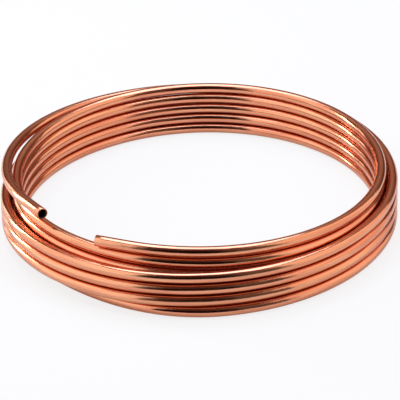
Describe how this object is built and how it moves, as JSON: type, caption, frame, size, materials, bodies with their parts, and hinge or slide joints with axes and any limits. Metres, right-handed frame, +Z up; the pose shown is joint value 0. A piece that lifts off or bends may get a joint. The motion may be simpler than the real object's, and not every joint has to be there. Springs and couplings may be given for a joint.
{
  "type": "copper tube coil",
  "caption": "Coil of soft round copper tube wound in stacked layers from a continuous length, lying flat, with plain open cut ends, for water, gas or refrigerant lines.",
  "frame": {"origin": "at floor level, under the middle of the coil", "axes": "+Z up out of the coil's flat side, -Y toward the front of the picture, +X to its right"},
  "size_m": [0.3734, 0.3786, 0.0685],
  "materials": {
    "copper": "bright drawn copper, lightly polished"
  },
  "bodies": {
    "root": {"copper_tube": "copper"}
  },
  "joints": []
}
